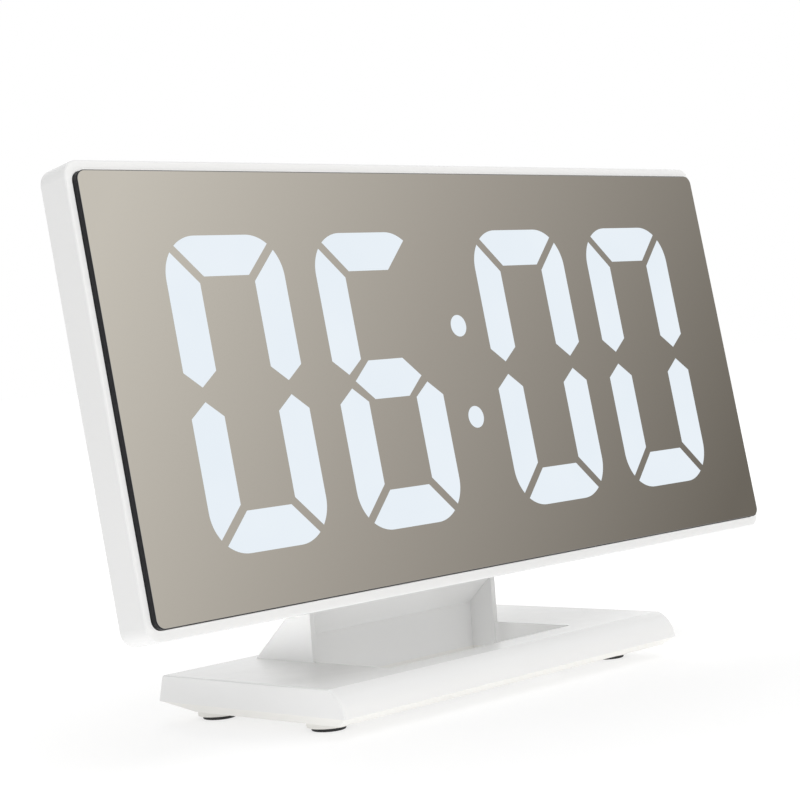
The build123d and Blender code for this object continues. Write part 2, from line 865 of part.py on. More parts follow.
def base_plate():
    """The plate that closes the base from below, with bevelled edges, the window and four foot bosses."""
    front = base_front + plate_inset
    back = base_back - plate_inset
    half = base_length / 2 - plate_inset
    side_view = Polygon(
        (front + plate_front_run, plate_bottom),
        (back - plate_back_run, plate_bottom),
        (back, plate_top),
        (front, plate_top),
    )
    front_view = Polygon(
        (-half + plate_end_run, plate_bottom),
        (half - plate_end_run, plate_bottom),
        (half, plate_top),
        (-half, plate_top),
    )
    plate = bar(side_view, -half, half) & extrude(
        Plane.XZ.offset(-front) * front_view, amount=back - front, dir=(0, 1, 0)
    )
    low = (Align.CENTER, Align.CENTER, Align.MIN)
    boss = Cylinder(foot_boss_radius, plate_top - foot_boss_bottom, align=low)
    seat = Pos(0, 0, -overrun) * Cylinder(rubber_radius + rubber_play, rubber_seat + overrun, align=low)
    feet = [Pos(x, y, foot_boss_bottom) * boss for x, y in foot_places]
    cuts = [Pos(x, y, foot_boss_bottom) * seat for x, y in foot_places]
    cuts.append(window(foot_boss_bottom, plate_top + overrun))
    niche_heights = (foot_boss_bottom, plate_top + overrun)
    cuts.append(block((-niche_half, niche_half), (neck_front - overrun, niche_back), niche_heights))
    sink = from_below * countersink(plate_thickness + overrun)
    cuts += [Pos(x, y, plate_bottom) * sink for x, y in base_screw_places]
    return plate + feet - cuts


def rubber_feet():
    """Four round rubber pads that the stand rests on."""
    low = (Align.CENTER, Align.CENTER, Align.MIN)
    pad = Cylinder(rubber_radius, rubber_thickness, align=low)
    pad = fillet(pad.faces().sort_by(Axis.Z)[0].edges(), rubber_round)
    return [Pos(x, y, 0) * pad for x, y in foot_places]


def save(name, pieces):
    """Write one node: a single piece, or a group of separate pieces."""
    shape = Compound(children=list(pieces)) if isinstance(pieces, list) else pieces
    export_step(shape, os.path.join("parts", name + ".step"))


def on_head(pieces):
    """Put a piece, or each piece of a group, in its place on the leaned head."""
    return [head_place * piece for piece in pieces] if isinstance(pieces, list) else head_place * pieces


def screws(screw, places, depth, turn):
    """A group of equal screws in the head."""
    return [Pos(x, depth, z) * turn * screw for x, z in places]


os.makedirs("parts", exist_ok=True)

save("stand_shell", stand_shell())
save("base_plate", base_plate())
base_screw = from_below * countersunk_screw(base_screw_length)
save("base_screws", [Pos(x, y, plate_bottom) * base_screw for x, y in base_screw_places])
save("rubber_feet", rubber_feet())

head_pieces = {
    "front_frame": front_frame(),
    "mirror_panel": mirror_panel(),
    "mirror_tape": mirror_tape(),
    "segment_mask": segment_mask(),
    "light_block": light_block(),
    "led_board": led_board(),
    "led_chips": led_chips(),
    "led_board_screws": screws(pan_screw(led_screw_length), led_screw_places, led_board_back, from_rear),
    "rear_cover": rear_cover(),
    "case_screws": screws(countersunk_screw(case_screw_length), case_screw_places, case_back, from_rear),
    "battery_door": battery_door(),
    "battery_cells": battery_cells(),
    "battery_plates": battery_plates(),
    "battery_springs": battery_springs(),
    "main_board": main_board(),
    "main_board_screws": screws(pan_screw(board_screw_length), board_screw_places, board_front, from_front),
    "clock_chip": clock_chip(),
    "crystal": crystal(),
    "buzzer": buzzer(),
    "tact_switches": tact_switches(),
    "header_block": header_block(),
    "header_pins": header_pins(),
    "usb_socket": usb_socket(),
    "hinge_pin": hinge_pin(),
    "friction_washers": friction_washers(),
}
for digit, outlines in digit_outlines.items():
    head_pieces[digit] = [slab(outline, tape_back, tape_back + lens_thickness) for outline in outlines]
button_names = ("snooze_button", "set_button", "up_button", "down_button")
for button_name, button_height in zip(button_names, button_heights):
    head_pieces[button_name] = button(button_height)

for node, node_pieces in head_pieces.items():
    save(node, on_head(node_pieces))

# Where the moving pieces turn and slide, in the stand's frame
lean = radians(lean_angle)
face_middle = head_place * Vertex(0, 0, 0)
print("hinge axis at", hinge_y, hinge_z)
print("up along the face", (0, sin(lean), cos(lean)))
print("rearward from the face", (0, cos(lean), -sin(lean)))
print("middle of the mirror", face_middle.center())
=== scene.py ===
import math

import bmesh
import bpy
from mathutils import Matrix, Vector


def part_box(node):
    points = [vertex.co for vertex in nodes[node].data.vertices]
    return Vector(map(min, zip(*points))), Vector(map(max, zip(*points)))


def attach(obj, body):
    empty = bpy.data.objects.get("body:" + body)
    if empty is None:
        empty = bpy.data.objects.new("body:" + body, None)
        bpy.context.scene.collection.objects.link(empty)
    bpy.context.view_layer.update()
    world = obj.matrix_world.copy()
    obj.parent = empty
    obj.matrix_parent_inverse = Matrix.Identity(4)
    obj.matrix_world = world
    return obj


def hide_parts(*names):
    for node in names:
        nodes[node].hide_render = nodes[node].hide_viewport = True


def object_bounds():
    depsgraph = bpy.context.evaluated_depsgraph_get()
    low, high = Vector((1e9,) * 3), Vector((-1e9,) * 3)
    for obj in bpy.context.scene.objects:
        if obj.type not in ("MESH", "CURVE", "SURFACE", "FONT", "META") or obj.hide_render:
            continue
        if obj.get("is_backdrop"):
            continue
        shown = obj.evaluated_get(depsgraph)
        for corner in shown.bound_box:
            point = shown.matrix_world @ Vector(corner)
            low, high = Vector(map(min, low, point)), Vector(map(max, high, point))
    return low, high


# %% [markdown]
# # A mirror-faced desk clock, dressed in Blender
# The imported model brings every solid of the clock: the stand, the head with its mirror, the parts inside it,
# a battery door and four buttons. They stay where they are. This lesson gives them their finishes, lights the
# digits, adds the screws and small marks that solids leave plain, and sets up the studio.

# %% Load the solids and keep their box
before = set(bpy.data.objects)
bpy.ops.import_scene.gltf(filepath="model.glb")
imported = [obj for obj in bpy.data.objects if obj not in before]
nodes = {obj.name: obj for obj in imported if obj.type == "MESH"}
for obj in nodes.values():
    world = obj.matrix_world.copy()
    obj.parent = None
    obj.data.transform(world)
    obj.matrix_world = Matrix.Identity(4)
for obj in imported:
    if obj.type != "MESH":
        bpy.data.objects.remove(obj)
solid_box = [list(corner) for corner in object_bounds()]
scene = bpy.context.scene
mm = 0.001
print("solids:", len(nodes), "box in mm:", [[round(v / mm, 1) for v in corner] for corner in solid_box])

# %% [markdown]
# ## The camera
# The clock is seen from its left, almost level with the mirror's middle, through a fairly long lens, and the
# picture is turned by a few degrees. A camera can be aimed by hand, but a fixed place and three angles
# (round, down and roll) say the same thing and give the same picture every time.

# %% Place the camera by three angles
camera_place = Vector((-0.3205, -0.3128, 0.0740))
camera_round = math.radians(45.50)
camera_down = math.radians(1.38)
camera_roll = math.radians(-4.39)
focal_length, film_width = 92.1, 36.0
nearest, farthest = 0.01, 20.0

ahead = Vector((
    math.sin(camera_round) * math.cos(camera_down),
    math.cos(camera_round) * math.cos(camera_down),
    -math.sin(camera_down),
))
level_right = Vector((math.cos(camera_round), -math.sin(camera_round), 0))
level_up = level_right.cross(ahead)
right = math.cos(camera_roll) * level_right + math.sin(camera_roll) * level_up
up = math.cos(camera_roll) * level_up - math.sin(camera_roll) * level_right

lens = bpy.data.cameras.new("clock_camera")
lens.lens = focal_length
lens.sensor_width = film_width
lens.clip_start = nearest
lens.clip_end = farthest
camera = bpy.data.objects.new("clock_camera", lens)
camera.matrix_world = Matrix.Translation(camera_place) @ Matrix((right, up, -ahead)).transposed().to_4x4()
scene.collection.objects.link(camera)
scene.camera = camera
print("camera", focal_length, "mm at", [round(v / mm) for v in camera_place], "mm")

# %% [markdown]
# ## The head's own directions
# The head leans back by nine degrees, so what belongs to its face is easiest to place in a frame of its own:
# across, depth behind the mirror, and height above the mirror's middle. The mirror node itself says where
# that frame is: its front, its lowest and its highest edge tell the middle, and the lean turns the axes.

# %% Find the mirror's frame
lean = math.radians(9)
across = Vector((1, 0, 0))
deep = Vector((0, math.cos(lean), -math.sin(lean)))
high = Vector((0, math.sin(lean), math.cos(lean)))
mirror_points = [vertex.co for vertex in nodes["mirror_panel"].data.vertices]
mirror_front = min(point.dot(deep) for point in mirror_points)
mirror_low = min(point.dot(high) for point in mirror_points)
mirror_high = max(point.dot(high) for point in mirror_points)
mirror_middle = mirror_front * deep + (mirror_low + mirror_high) / 2 * high
head_frame = Matrix.Translation(mirror_middle) @ Matrix((across, deep, high)).transposed().to_4x4()
print("mirror middle in mm:", [round(v / mm, 2) for v in mirror_middle])

# %% [markdown]
# ## Helpers for node trees
# Every finish, every repeated shape and the room itself is a tree of nodes. Adding a node with its values,
# joining sockets and doing a sum are the same few steps each time, so each of them is a small helper.


# %% Add a node, join sockets, do a sum
def add_node(tree, kind, values=None, **settings):
    """Add a node with its settings, and set its inputs by name or number."""
    node = tree.nodes.new(kind)
    for label, setting in settings.items():
        setattr(node, label, setting)
    for label, value in (values or {}).items():
        node.inputs[label].default_value = value
    return node


def join(tree, *links):
    """Join sockets, each link given as a node, its output, the next node and its input."""
    for node, output, next_node, socket in links:
        tree.links.new(node.outputs[output], next_node.inputs[socket])


def sum_of(tree, operation, *terms):
    """A sum of plain numbers and (node, output) pairs, given back as such a pair."""
    node = add_node(tree, "ShaderNodeMath", operation=operation)
    for index, term in enumerate(terms):
        if isinstance(term, tuple):
            join(tree, (*term, node, index))
        else:
            node.inputs[index].default_value = term
    return node, 0


def blank_finish(name):
    """A new material, its tree and its shader."""
    finish = bpy.data.materials.new(name)
    finish.use_nodes = True
    return finish, finish.node_tree, finish.node_tree.nodes["Principled BSDF"]


print("helpers:", add_node.__name__, join.__name__, sum_of.__name__, blank_finish.__name__)

# %% [markdown]
# ## The studio
# White plastic on a white ground needs even light from all round: a bright room, a low soft lamp at the front
# that reaches under the head, a large one above, a weak one at the left and one behind that gives the back
# some form. A small lamp with a narrow beam lifts the neck's left face, which the head keeps in shade. No
# lamp shows in reflections, so the mirror stays plain. The room and the floor could be lit until they burn
# out to white, but the clock would burn out with them. So they only look white to the eye, and light the
# clock at an ordinary level. The floor in front throws some light up, as a white sheet does. It takes the
# clock's real shadow, but to the eye its glow is painted weaker near the clock, a painted shade that deepens
# the shadow there and fades it within a hand's width.


# %% Room light, white to the eye
def seen_ray(tree):
    """A pair that is 1 where the eye, a gloss or a clear piece looks, and 0 where light falls."""
    path = add_node(tree, "ShaderNodeLightPath")
    looked_at = sum_of(tree, "MAXIMUM", (path, "Is Camera Ray"), (path, "Is Glossy Ray"))
    return sum_of(tree, "MAXIMUM", looked_at, (path, "Is Transmission Ray"))


white_light = (1, 1, 1, 1)
room_strength, eye_strength = 0.56, 1.0
scene.view_settings.view_transform = "Standard"
room = bpy.data.worlds.new("studio_room")
room.use_nodes = True
scene.world = room
room_tree = room.node_tree
room_tree.nodes.clear()
room_light = add_node(room_tree, "ShaderNodeBackground", {"Color": white_light, "Strength": room_strength})
room_white = add_node(room_tree, "ShaderNodeBackground", {"Color": white_light, "Strength": eye_strength})
room_mix = add_node(room_tree, "ShaderNodeMixShader")
room_out = add_node(room_tree, "ShaderNodeOutputWorld")
join(
    room_tree, (*seen_ray(room_tree), room_mix, 0), (room_light, 0, room_mix, 1),
    (room_white, 0, room_mix, 2), (room_mix, 0, room_out, "Surface"),
)
print("room lights at", room_strength)

# %% Four soft lamps and a narrow one
clock_middle = Vector((0, -0.01, 0.055))
neck_middle = Vector((-0.030, 0.016, 0.022))
wide_beam, narrow_beam = 180, 6
# Each row: name, place, target, width and height in metres, beam in degrees, power in watts.
lamp_rows = [
    ("front_lamp", (-0.20, -1.20, 0.25), clock_middle, 1.6, 0.5, wide_beam, 1.3),
    ("top_lamp", (0.10, -0.55, 1.30), clock_middle, 1.2, 1.2, wide_beam, 5.9),
    ("left_lamp", (-1.25, 0.20, 0.12), clock_middle, 0.8, 0.2, wide_beam, 0.9),
    ("rear_lamp", (0.75, 1.00, 0.90), clock_middle, 0.6, 0.6, wide_beam, 5.2),
    ("neck_lamp", (-0.26, 0.03, 0.030), neck_middle, 0.030, 0.014, narrow_beam, 0.0006),
]
for name, place, target, width, height, beam, watts in lamp_rows:
    glow = bpy.data.lights.new(name, "AREA")
    glow.shape = "RECTANGLE"
    glow.size = width
    glow.size_y = height
    glow.energy = watts
    glow.spread = math.radians(beam)
    lamp = bpy.data.objects.new(name, glow)
    aim = (target - Vector(place)).to_track_quat("-Z", "Y").to_matrix().to_4x4()
    lamp.matrix_world = Matrix.Translation(place) @ aim
    lamp.visible_glossy = False
    scene.collection.objects.link(lamp)
    print(name, watts, "W at", round((target - Vector(place)).length, 2), "m")


# %% A helper for flat sheets of the studio
def stage_sheet(name, half_width, half_height):
    """A flat rectangle that belongs to the studio, and its empty finish."""
    mesh = bpy.data.meshes.new(name)
    signs = [(-1, -1), (1, -1), (1, 1), (-1, 1)]
    mesh.from_pydata([(a * half_width, b * half_height, 0) for a, b in signs], [], [(0, 1, 2, 3)])
    sheet = bpy.data.objects.new(name, mesh)
    scene.collection.objects.link(sheet)
    sheet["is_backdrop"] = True
    finish = bpy.data.materials.new(name)
    finish.use_nodes = True
    finish.node_tree.nodes.clear()
    mesh.materials.append(finish)
    return sheet, finish.node_tree


print("studio helper:", stage_sheet.__name__)

# %% Floor that stays white, keeps the shadow and is painted darker near the clock
floor_half_size = 6.0
floor_white, shadow_grey = (0.85, 0.85, 0.85, 1), (0.36, 0.36, 0.357, 1)
glow_back, glow_front, glow_strength = 0.16, -0.04, 0.46
# Seen by the eye, the floor's glow is weaker near the clock: painted shade that deepens its real shadow out to
# these distances.
shadow_near, shadow_far = 0.05, 0.17
near_shaded_glow, far_strength = 0.665, 0.81

floor, floor_tree = stage_sheet("studio_floor", floor_half_size, floor_half_size)
floor_place = add_node(floor_tree, "ShaderNodeTexCoord")
floor_split = add_node(floor_tree, "ShaderNodeSeparateXYZ")
floor_reach = add_node(floor_tree, "ShaderNodeVectorMath", operation="LENGTH")
front_range = add_node(
    floor_tree, "ShaderNodeMapRange",
    {"From Min": glow_back, "From Max": glow_front, "To Min": 0.0, "To Max": glow_strength},
)
# Painted shade: the glow the eye sees rises from the clock outwards.
painted_shade_ramp = add_node(
    floor_tree, "ShaderNodeMapRange",
    {"From Min": shadow_near, "From Max": shadow_far, "To Min": near_shaded_glow, "To Max": far_strength},
)
floor_paint = add_node(floor_tree, "ShaderNodeBsdfDiffuse", {"Color": floor_white})
table_glow = add_node(floor_tree, "ShaderNodeEmission", {"Color": white_light})
table_light = add_node(floor_tree, "ShaderNodeAddShader")
shadow_paint = add_node(floor_tree, "ShaderNodeBsdfDiffuse", {"Color": shadow_grey})
floor_glow = add_node(floor_tree, "ShaderNodeEmission", {"Color": white_light})
floor_seen = add_node(floor_tree, "ShaderNodeAddShader")
floor_mix = add_node(floor_tree, "ShaderNodeMixShader")
floor_out = add_node(floor_tree, "ShaderNodeOutputMaterial")
join(
    floor_tree, (floor_place, "Object", floor_split, 0), (floor_place, "Object", floor_reach, 0),
    (floor_split, "Y", front_range, "Value"), (front_range, 0, table_glow, "Strength"),
    (floor_reach, "Value", painted_shade_ramp, "Value"), (painted_shade_ramp, 0, floor_glow, "Strength"),
    (floor_paint, 0, table_light, 0), (table_glow, 0, table_light, 1),
    (shadow_paint, 0, floor_seen, 0), (floor_glow, 0, floor_seen, 1),
    (*seen_ray(floor_tree), floor_mix, 0), (table_light, 0, floor_mix, 1), (floor_seen, 0, floor_mix, 2),
    (floor_mix, 0, floor_out, "Surface"),
)
print("floor:", floor.name, "with", len(floor_tree.nodes), "nodes")

# %% [markdown]
# ## What the mirror sees
# A mirror has no picture of its own: its warm grey, light at the upper left and dark at the lower right, is
# the room opposite. Tones painted on the panel would stay put as the eye moves, as no reflection does. So a
# large card stands where the mirror looks, off to the right of the clock, with a slow blend of tones that
# fades to the white room at its rim. Only reflections see the card, so it casts no light or shadow.

# %% Stand a card opposite the mirror
card_half_width, card_half_height = 0.60, 0.40
card_middle = Vector((0.84, -0.82, 0.30))
card, card_tree = stage_sheet("mirror_card", card_half_width, card_half_height)
card_normal = (mirror_middle - card_middle).normalized()
card_across = Vector((0, 0, 1)).cross(card_normal).normalized()
card_turn = Matrix((card_across, card_normal.cross(card_across), card_normal)).transposed().to_4x4()
card.matrix_world = Matrix.Translation(card_middle) @ card_turn
card.visible_camera = card.visible_diffuse = card.visible_shadow = card.visible_transmission = False
print("card at", [round(v, 2) for v in card_middle], "m")

# %% Blend its tones and fade its rim
card_strength = 1.875
tone_slope = (-1.515, -1.06, 0)
tone_middle = 0.5
rim_start = 0.68
light_tone, dark_tone = (0.92, 0.876, 0.79, 1), (0.24, 0.218, 0.187, 1)
middle_tone = (0.57, 0.53, 0.475, 1)
room_tone = (1 / card_strength,) * 3 + (1,)
reach_scale = (1 / card_half_width, 1 / card_half_height, 0)

card_place = add_node(card_tree, "ShaderNodeTexCoord")
card_slope = add_node(card_tree, "ShaderNodeVectorMath", {1: tone_slope}, operation="DOT_PRODUCT")
card_tones = add_node(card_tree, "ShaderNodeValToRGB")
tones = card_tones.color_ramp.elements
tones[0].color = light_tone
tones[1].color = dark_tone
tones.new(tone_middle).color = middle_tone
card_reach = add_node(card_tree, "ShaderNodeVectorMath", {1: reach_scale}, operation="MULTIPLY")
card_size = add_node(card_tree, "ShaderNodeVectorMath", operation="ABSOLUTE")
card_split = add_node(card_tree, "ShaderNodeSeparateXYZ")
join(
    card_tree, (card_place, "Object", card_slope, 0), (card_place, "Object", card_reach, 0),
    (card_reach, 0, card_size, 0), (card_size, 0, card_split, 0),
    (*sum_of(card_tree, "ADD", (card_slope, "Value"), tone_middle), card_tones, 0),
)
card_rim = add_node(
    card_tree, "ShaderNodeMapRange", {"From Min": rim_start, "From Max": 1.0}, interpolation_type="SMOOTHSTEP"
)
card_fade = add_node(card_tree, "ShaderNodeMix", {7: room_tone}, data_type="RGBA")
card_glow = add_node(card_tree, "ShaderNodeEmission", {"Strength": card_strength})
card_out = add_node(card_tree, "ShaderNodeOutputMaterial")
join(
    card_tree, (*sum_of(card_tree, "MAXIMUM", (card_split, "X"), (card_split, "Y")), card_rim, "Value"),
    (card_rim, 0, card_fade, 0), (card_tones, 0, card_fade, 6), (card_fade, 2, card_glow, "Color"),
    (card_glow, 0, card_out, "Surface"),
)
print("card tones:", len(tones), "at strength", card_strength)

# %% [markdown]
# ## Shared surface effects
# Moulded plastic is never perfectly even. Its skin has a fine grain from the mould, its gloss drifts a little
# where it has been touched, and its colour wanders by a shade. Each of these could be built again in every
# finish, but as a node group it is made once and set to a different size in each of them. The groups read
# Object coordinates, so they hold still as pieces move.


# %% A helper for node groups
def new_effect(name, inputs, outputs):
    """An empty shader node group with named sockets, given as (name, kind, start value)."""
    effect = bpy.data.node_groups.new(name, "ShaderNodeTree")
    for label, kind, value in inputs:
        effect.interface.new_socket(label, in_out="INPUT", socket_type=kind).default_value = value
    for label, kind in outputs:
        effect.interface.new_socket(label, in_out="OUTPUT", socket_type=kind)
    return effect, add_node(effect, "NodeGroupInput"), add_node(effect, "NodeGroupOutput")


number, tint = "NodeSocketFloat", "NodeSocketColor"
print("socket kinds:", number, tint)

# %% Mould grain: a height that a bump node reads
mould_grain, grain_in, grain_out = new_effect(
    "mould_grain",
    [("Grains per metre", number, 2000.0), ("Coarseness", number, 0.5)],
    [("Height", number)],
)
grain_place = add_node(mould_grain, "ShaderNodeTexCoord")
grain_noise = add_node(mould_grain, "ShaderNodeTexNoise", {"Detail": 3.0})
grain_pits = add_node(mould_grain, "ShaderNodeTexVoronoi")
grain_mix = add_node(mould_grain, "ShaderNodeMix")
for grain_pattern in (grain_noise, grain_pits):
    join(
        mould_grain, (grain_place, "Object", grain_pattern, "Vector"),
        (grain_in, "Grains per metre", grain_pattern, "Scale"),
    )
join(
    mould_grain, (grain_in, "Coarseness", grain_mix, 0), (grain_noise, 0, grain_mix, 2),
    (grain_pits, "Distance", grain_mix, 3), (grain_mix, 0, grain_out, "Height"),
)
print("effect:", mould_grain.name)

# %% Handling haze: a gloss that drifts from clean to touched
handling_haze, haze_in, haze_out = new_effect(
    "handling_haze",
    [("Patches per metre", number, 30.0), ("Clean", number, 0.2), ("Touched", number, 0.3)],
    [("Roughness", number)],
)
haze_place = add_node(handling_haze, "ShaderNodeTexCoord")
haze_noise = add_node(handling_haze, "ShaderNodeTexNoise", {"Detail": 5.0, "Roughness": 0.62})
haze_range = add_node(handling_haze, "ShaderNodeMapRange", {"From Min": 0.32, "From Max": 0.72})
join(
    handling_haze, (haze_place, "Object", haze_noise, "Vector"),
    (haze_in, "Patches per metre", haze_noise, "Scale"), (haze_noise, 0, haze_range, "Value"),
    (haze_in, "Clean", haze_range, "To Min"), (haze_in, "Touched", haze_range, "To Max"),
    (haze_range, 0, haze_out, "Roughness"),
)
print("effect:", handling_haze.name)

# %% Tone drift: a colour that wanders by a shade
tone_drift, drift_in, drift_out = new_effect(
    "tone_drift",
    [("Patches per metre", number, 18.0), ("Colour", tint, (0.8, 0.8, 0.8, 1)),
     ("Other colour", tint, (0.7, 0.7, 0.7, 1))],
    [("Color", tint)],
)
drift_place = add_node(tone_drift, "ShaderNodeTexCoord")
drift_noise = add_node(tone_drift, "ShaderNodeTexNoise", {"Detail": 2.0})
drift_range = add_node(tone_drift, "ShaderNodeMapRange", {"From Min": 0.3, "From Max": 0.7})
drift_mix = add_node(tone_drift, "ShaderNodeMix", data_type="RGBA")
join(
    tone_drift, (drift_place, "Object", drift_noise, "Vector"),
    (drift_in, "Patches per metre", drift_noise, "Scale"), (drift_noise, 0, drift_range, "Value"),
    (drift_range, 0, drift_mix, 0), (drift_in, "Colour", drift_mix, 6),
    (drift_in, "Other colour", drift_mix, 7), (drift_mix, 2, drift_out, "Color"),
)
print("effect:", tone_drift.name)

# %% [markdown]
# ## Moulded finishes
# Most of the clock is moulded plastic, from the glossy white frame to the black blocks on its boards. Each
# finish could be drawn by hand, but they differ only in values: two close colours, how clean or touched the
# gloss is, and the size and depth of the grain. So one helper builds such a finish from the three effects.
# Plated metal and rubber are made the same way.


# %% A helper for moulded finishes
def put_effect(tree, effect, **values):
    """Place a node group in a material and set its named inputs."""
    node = add_node(tree, "ShaderNodeGroup", node_tree=effect)
    for label, value in values.items():
        node.inputs[label.replace("_", " ")].default_value = value
    return node


def drifting(tree, colour, other, patches):
    """A colour that wanders between two close tones."""
    return put_effect(
        tree, tone_drift, Patches_per_metre=patches, Colour=(*colour, 1), Other_colour=(*other, 1)
    )


def give_skin(tree, shader, clean, touched, grain, depth, coarse=0.0, patches=30.0):
    """A gloss that varies, in patches half as large as the colour's, and a fine grain."""
    haze = put_effect(tree, handling_haze, Patches_per_metre=patches * 2, Clean=clean, Touched=touched)
    skin = put_effect(tree, mould_grain, Grains_per_metre=grain, Coarseness=coarse)
    bump = add_node(tree, "ShaderNodeBump", {"Distance": depth, "Strength": 1.0})
    join(
        tree, (haze, "Roughness", shader, "Roughness"), (skin, "Height", bump, "Height"),
        (bump, "Normal", shader, "Normal"),
    )


def moulded(name, colour, other, metal=0.0, patches=30.0, **skin):
    """A finish whose colour drifts, whose gloss varies and whose skin has a fine grain."""
    finish, tree, shader = blank_finish(name)
    shader.inputs["Metallic"].default_value = metal
    join(tree, (drifting(tree, colour, other, patches), "Color", shader, "Base Color"))
    give_skin(tree, shader, patches=patches, **skin)
    return finish


print("finish helpers:", put_effect.__name__, drifting.__name__, give_skin.__name__, moulded.__name__)

# %% White and grey plastics
white_gloss = moulded(
    "white_gloss", (0.87, 0.87, 0.865), (0.855, 0.855, 0.85),
    clean=0.18, touched=0.26, grain=700.0, depth=0.000002,
)
plate_white = moulded(
    "plate_white", (0.85, 0.842, 0.815), (0.83, 0.82, 0.79),
    clean=0.42, touched=0.52, grain=1800.0, depth=0.00001,
)
rear_white = moulded(
    "rear_white", (0.74, 0.74, 0.725), (0.71, 0.71, 0.693),
    clean=0.5, touched=0.62, grain=1600.0, depth=0.00005, coarse=0.6,
)
button_grey = moulded(
    "button_grey", (0.60, 0.61, 0.62), (0.55, 0.56, 0.575),
    clean=0.42, touched=0.55, grain=2200.0, depth=0.00002, coarse=0.4,
)
mark_dark = moulded(
    "mark_dark", (0.16, 0.165, 0.175), (0.20, 0.205, 0.215),
    clean=0.4, touched=0.55, grain=2500.0, depth=0.00001,
)
well_white = moulded(
    "well_white", (0.85, 0.85, 0.84), (0.83, 0.83, 0.82),
    clean=0.5, touched=0.6, grain=1500.0, depth=0.00001,
)
lens_milk = moulded(
    "lens_milk", (0.80, 0.83, 0.87), (0.77, 0.80, 0.84),
    clean=0.35, touched=0.45, grain=1500.0, depth=0.000005,
)
plastics = [white_gloss, plate_white, rear_white, button_grey, mark_dark, well_white, lens_milk]
print("finishes:", [finish.name for finish in plastics])

# %% Black plastics, rubber, resin and metals
steel_tones = (0.62, 0.63, 0.65), (0.55, 0.56, 0.58)
metal_patches = 120.0
flat_black = moulded(
    "flat_black", (0.018, 0.018, 0.02), (0.026, 0.026, 0.028),
    clean=0.6, touched=0.75, grain=1500.0, depth=0.00001,
)
block_black = moulded(
    "block_black", (0.03, 0.03, 0.032), (0.04, 0.04, 0.042),
    clean=0.4, touched=0.55, grain=3000.0, depth=0.00002, coarse=0.3,
)
foot_rubber = moulded(
    "foot_rubber", (0.022, 0.022, 0.024), (0.034, 0.034, 0.034),
    clean=0.75, touched=0.9, grain=2600.0, depth=0.00004, coarse=0.5,
)
chip_resin = moulded(
    "chip_resin", (0.83, 0.74, 0.36), (0.80, 0.69, 0.30),
    clean=0.25, touched=0.4, grain=2500.0, depth=0.00001,
)
bright_steel = moulded(
    "bright_steel", *steel_tones, metal=1.0, patches=metal_patches,
    clean=0.22, touched=0.36, grain=3500.0, depth=0.00001, coarse=0.2,
)
pin_brass = moulded(
    "pin_brass", (0.78, 0.60, 0.27), (0.70, 0.52, 0.22), metal=1.0, patches=150.0,
    clean=0.25, touched=0.4, grain=3500.0, depth=0.00001, coarse=0.2,
)
blacks_and_metals = [flat_black, block_black, foot_rubber, chip_resin, bright_steel, pin_brass]
print("finishes:", [finish.name for finish in blacks_and_metals])


# %% Put the finishes on the solids
def dress(node, finish):
    """Give a solid one finish in every material slot."""
    mesh = nodes[node].data
    mesh.materials.clear()
    mesh.materials.append(finish)


button_names = ["snooze_button", "set_button", "up_button", "down_button"]
digit_names = ["hour_tens_segments", "hour_units_segments", "minute_tens_segments", "minute_units_segments"]
dressed = {
    white_gloss: ["front_frame", "stand_shell"],
    plate_white: ["base_plate"],
    rear_white: ["rear_cover", "battery_door"],
    button_grey: button_names,
    well_white: ["light_block"],
    flat_black: ["segment_mask", "mirror_tape"],
    block_black: ["clock_chip", "buzzer", "header_block", "tact_switches"],
    foot_rubber: ["rubber_feet"],
    chip_resin: ["led_chips"],
    bright_steel: [
        "case_screws", "base_screws", "led_board_screws", "main_board_screws", "hinge_pin",
        "friction_washers", "battery_plates", "battery_springs", "crystal",
    ],
    pin_brass: ["header_pins"],
    lens_milk: [*digit_names, "colon_lenses"],
}
for finish, names in dressed.items():
    for node in names:
        dress(node, finish)
print("dressed:", sum(len(names) for names in dressed.values()), "solids")

# %% [markdown]
# ## The mirror
# The panel is half-silvered acrylic: it mirrors the room in a muted grey, and its cut edge and bevel are
# dark. Face and edge are one solid, so the finish tells them apart by depth: a Mapping node turns Object
# coordinates into the head's frame, and everything behind the front plane is edge. The smears on the face
# only change gloss. Where light bounces off plastic towards the mirror, the face counts as dull, so it throws
# no bright specks. To those bounces the black edge shows near white. This is painted light, so the lip beside
# it stays light.


# %% Helpers for places in the head's frame
def head_place(tree, middle):
    """Object coordinates turned into the head's frame: across, depth and height from a point."""
    place = add_node(tree, "ShaderNodeTexCoord")
    turn = add_node(
        tree, "ShaderNodeMapping", {"Location": middle, "Rotation": (-lean, 0, 0)}, vector_type="TEXTURE"
    )
    join(tree, (place, "Object", turn, "Vector"))
    return turn


def parts_of(tree, node, output=0):
    """A node that splits a vector into its three parts."""
    split = add_node(tree, "ShaderNodeSeparateXYZ")
    join(tree, (node, output, split, 0))
    return split


print("place helpers:", head_place.__name__, parts_of.__name__)

# %% Mirror face and dark edge
edge_depth = 0.04 * mm
edge_gloss, dull_gloss = 0.45, 0.6
silver_grey, edge_black = (0.32, 0.317, 0.31, 1), (0.010, 0.010, 0.012, 1)
# Near white that only bounced light sees on the black edge: painted light that keeps the lip beside it out of
# shade.
painted_bounce_white = (0.85, 0.85, 0.85, 1)

